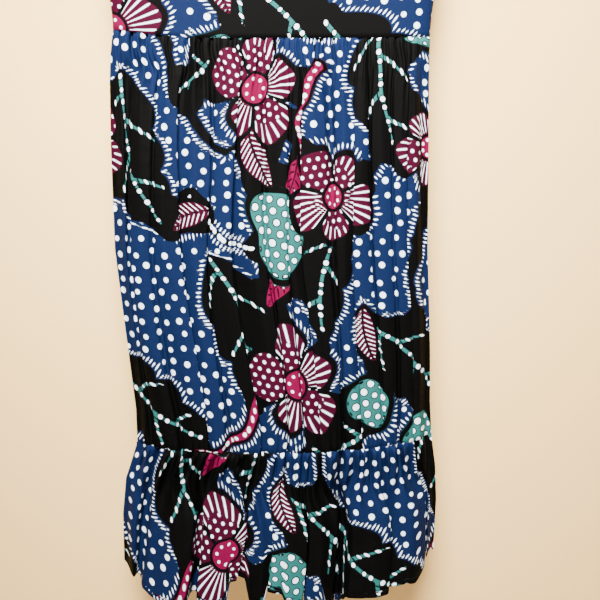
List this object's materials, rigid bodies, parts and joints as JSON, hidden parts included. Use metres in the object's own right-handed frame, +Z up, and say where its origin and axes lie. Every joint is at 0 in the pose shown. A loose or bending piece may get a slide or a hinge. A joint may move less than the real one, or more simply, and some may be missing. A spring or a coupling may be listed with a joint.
{
  "type": "midi dress on a hanger",
  "caption": "Sleeveless blue printed midi dress with a long gathered skirt tier and a gathered hem flounce, hanging on a wooden hanger.",
  "frame": {"origin": "the point inside the top of the hook's bend that rests on a rod", "axes": "+Z up, -Y out of the front of the dress, +X to the right as seen from the front"},
  "size_m": [0.4599, 0.122, 1.2616],
  "materials": {
    "printed_cloth": "soft matte, smooth light plain weave",
    "hanger_beech": "satin varnish",
    "hook_steel": "bright plated wire"
  },
  "bodies": {
    "root": {"bodice_front": "printed_cloth", "bodice_back": "printed_cloth", "skirt_front": "printed_cloth", "skirt_back": "printed_cloth", "flounce_front": "printed_cloth", "flounce_back": "printed_cloth", "hanger_bar": "hanger_beech", "hanger_hook": "hook_steel"}
  },
  "joints": []
}
